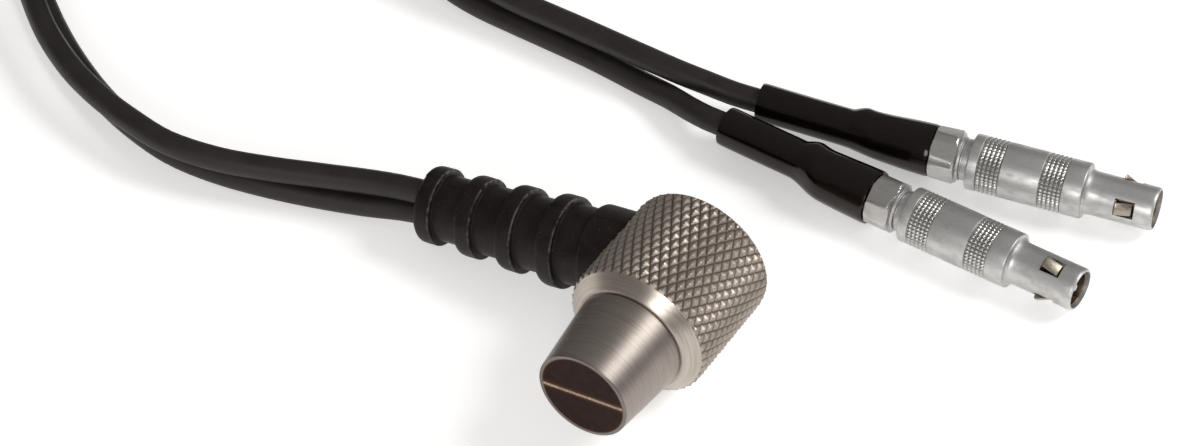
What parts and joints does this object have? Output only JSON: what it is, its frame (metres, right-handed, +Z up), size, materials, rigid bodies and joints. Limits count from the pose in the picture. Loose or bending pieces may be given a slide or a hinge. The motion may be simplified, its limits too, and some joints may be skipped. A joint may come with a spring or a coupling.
{
  "type": "dual-element ultrasonic thickness probe",
  "caption": "Knurled steel thickness probe with a split contact face, a ribbed right-angle cable boot, thin twin leads in a tied coil, and push-pull coaxial plugs with sprung latches.",
  "frame": {"origin": "on the table under the middle of the probe head, which lies on its knurled side", "axes": "+Y along the probe's axis from the contact face to the back cap; +Z up from the table; the boot leaves toward -X"},
  "size_m": [0.1476, 0.0818, 0.0166],
  "materials": {
    "knurled_steel": "satin, cut in a diamond knurl",
    "turned_steel": "bright, finely turned round the axis",
    "boot_rubber": "matte moulded",
    "cable_jacket": "matte",
    "heat_shrink": "glossy",
    "plug_nickel": "satin nickel plate",
    "latch_nickel_silver": "warm satin",
    "contact_brass": "gold-toned",
    "insulator": "dark",
    "delay_plastic": "dark brown, translucent at its edges",
    "barrier": "tan",
    "crystal": "ceramic",
    "backing": "filled resin",
    "tie": "woven strap"
  },
  "bodies": {
    "probe": {"housing": "knurled_steel", "nose_sleeve": "turned_steel", "back_cap": "turned_steel", "acoustic_barrier": "barrier", "strain_relief": "boot_rubber", "delay_line_transmit": "delay_plastic", "delay_line_receive": "delay_plastic", "crystal_transmit": "crystal", "crystal_receive": "crystal", "backing_transmit": "backing", "backing_receive": "backing", "lead_a_from_boot": "cable_jacket", "lead_b_from_boot": "cable_jacket", "lead_a_coil": "cable_jacket", "lead_b_coil": "cable_jacket", "coil_tie": "tie", "lead_a_to_plug": "cable_jacket", "lead_b_to_plug": "cable_jacket", "front_plug_neck": "plug_nickel", "front_plug_collet_nut": "plug_nickel", "front_plug_latch_ring": "latch_nickel_silver", "front_plug_shield_tube": "contact_brass", "front_plug_insulator": "insulator", "front_plug_centre_pin": "contact_brass", "front_plug_heat_shrink": "heat_shrink", "rear_plug_neck": "plug_nickel", "rear_plug_collet_nut": "plug_nickel", "rear_plug_latch_ring": "latch_nickel_silver", "rear_plug_shield_tube": "contact_brass", "rear_plug_insulator": "insulator", "rear_plug_centre_pin": "contact_brass", "rear_plug_heat_shrink": "heat_shrink"},
    "front_shell": {"front_plug_release_shell": "plug_nickel"},
    "front_latch_1": {"front_plug_latch_1": "latch_nickel_silver"},
    "front_latch_2": {"front_plug_latch_2": "latch_nickel_silver"},
    "front_latch_3": {"front_plug_latch_3": "latch_nickel_silver"},
    "rear_shell": {"rear_plug_release_shell": "plug_nickel"},
    "rear_latch_1": {"rear_plug_latch_1": "latch_nickel_silver"},
    "rear_latch_2": {"rear_plug_latch_2": "latch_nickel_silver"},
    "rear_latch_3": {"rear_plug_latch_3": "latch_nickel_silver"}
  },
  "joints": [
    {"name": "front_shell_slide", "type": "slide", "parent": "probe", "child": "front_shell", "axis": [-0.9999, 0.0157, 0], "range_m": [0, 0.001], "stiffness_N_per_m": 300},
    {"name": "front_latch_1_flex", "type": "hinge", "parent": "probe", "child": "front_latch_1", "pos_m": [0.02449, 0.03275, 0.00513], "axis": [0.0153, 0.9766, 0.2147], "range_deg": [0, 3.7]},
    {"name": "front_latch_2_flex", "type": "hinge", "parent": "probe", "child": "front_latch_2", "pos_m": [0.02448, 0.03174, 0.00195], "axis": [-0.0106, -0.6742, 0.7385], "range_deg": [0, 3.7]},
    {"name": "front_latch_3_flex", "type": "hinge", "parent": "probe", "child": "front_latch_3", "pos_m": [0.02453, 0.035, 0.00267], "axis": [-0.0047, -0.3023, -0.9532], "range_deg": [0, 3.7]},
    {"name": "rear_shell_slide", "type": "slide", "parent": "probe", "child": "rear_shell", "axis": [-0.981, -0.1942, 0], "range_m": [0, 0.001], "stiffness_N_per_m": 300},
    {"name": "rear_latch_1_flex", "type": "hinge", "parent": "probe", "child": "rear_latch_1", "pos_m": [0.02644, 0.04432, 0.004], "axis": [-0.0759, 0.3833, 0.9205], "range_deg": [0, 3.7]},
    {"name": "rear_latch_2_flex", "type": "hinge", "parent": "probe", "child": "rear_latch_2", "pos_m": [0.02605, 0.04629, 0.00134], "axis": [0.1928, -0.9736, -0.1219], "range_deg": [0, 3.7]},
    {"name": "rear_latch_3_flex", "type": "hinge", "parent": "probe", "child": "rear_latch_3", "pos_m": [0.0258, 0.04757, 0.00441], "axis": [-0.1169, 0.5904, -0.7986], "range_deg": [0, 3.7]}
  ],
  "couplings": [
    {"joint": "front_latch_1_flex", "follows": "front_shell_slide", "rad_per_m": 62.8},
    {"joint": "front_latch_2_flex", "follows": "front_shell_slide", "rad_per_m": 62.8},
    {"joint": "front_latch_3_flex", "follows": "front_shell_slide", "rad_per_m": 62.8},
    {"joint": "rear_latch_1_flex", "follows": "rear_shell_slide", "rad_per_m": 62.8},
    {"joint": "rear_latch_2_flex", "follows": "rear_shell_slide", "rad_per_m": 62.8},
    {"joint": "rear_latch_3_flex", "follows": "rear_shell_slide", "rad_per_m": 62.8}
  ]
}
